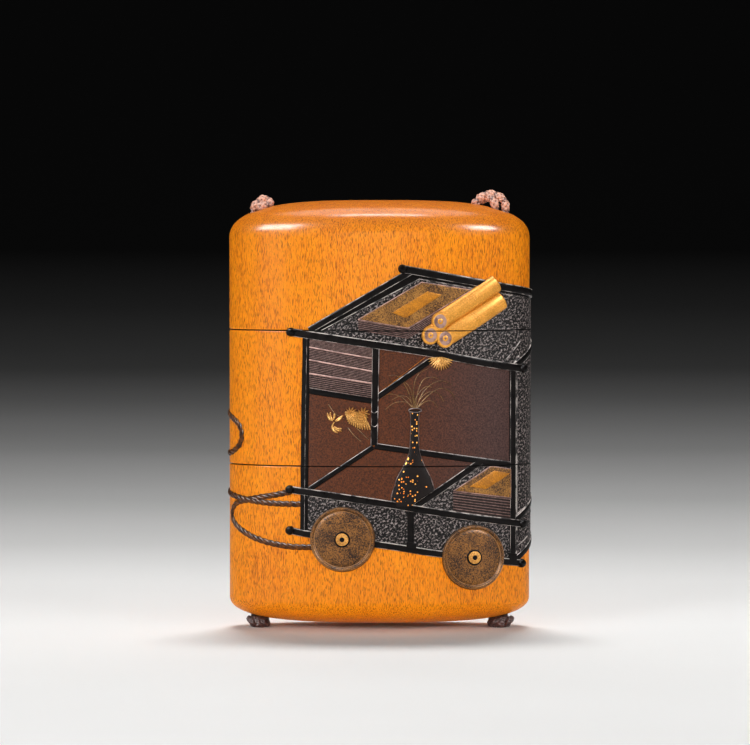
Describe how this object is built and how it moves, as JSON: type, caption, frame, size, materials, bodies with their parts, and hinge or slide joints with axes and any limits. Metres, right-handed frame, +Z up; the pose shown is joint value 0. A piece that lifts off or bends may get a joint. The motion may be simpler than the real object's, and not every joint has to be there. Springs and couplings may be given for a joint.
{
  "type": "inro case",
  "caption": "Small three-tier oval wooden case with a lift-off lid, a raised lacquer book cart on its front, and a knotted silk cord through each end.",
  "frame": {"origin": "on the ground, at the middle of the case's plan", "axes": "+Z up through the lid, -Y towards the viewer of the raised picture, +X to that viewer's right"},
  "size_m": [0.0579, 0.0249, 0.083],
  "materials": {
    "wood": "clear satin lacquer over open-pored orange wood",
    "silk": "braided salmon silk",
    "black_lacquer": "polished black lacquer",
    "rough_lacquer": "stone-textured dark lacquer",
    "red_lacquer": "red-brown lacquer",
    "gold_lacquer": "sprinkled gold lacquer",
    "bronze_lacquer": "mottled brown-gold lacquer"
  },
  "bodies": {
    "root": {"lid": "wood", "middle_case": "wood", "bottom_case": "wood", "left_cord": "silk", "right_cord": "silk"}
  },
  "joints": []
}
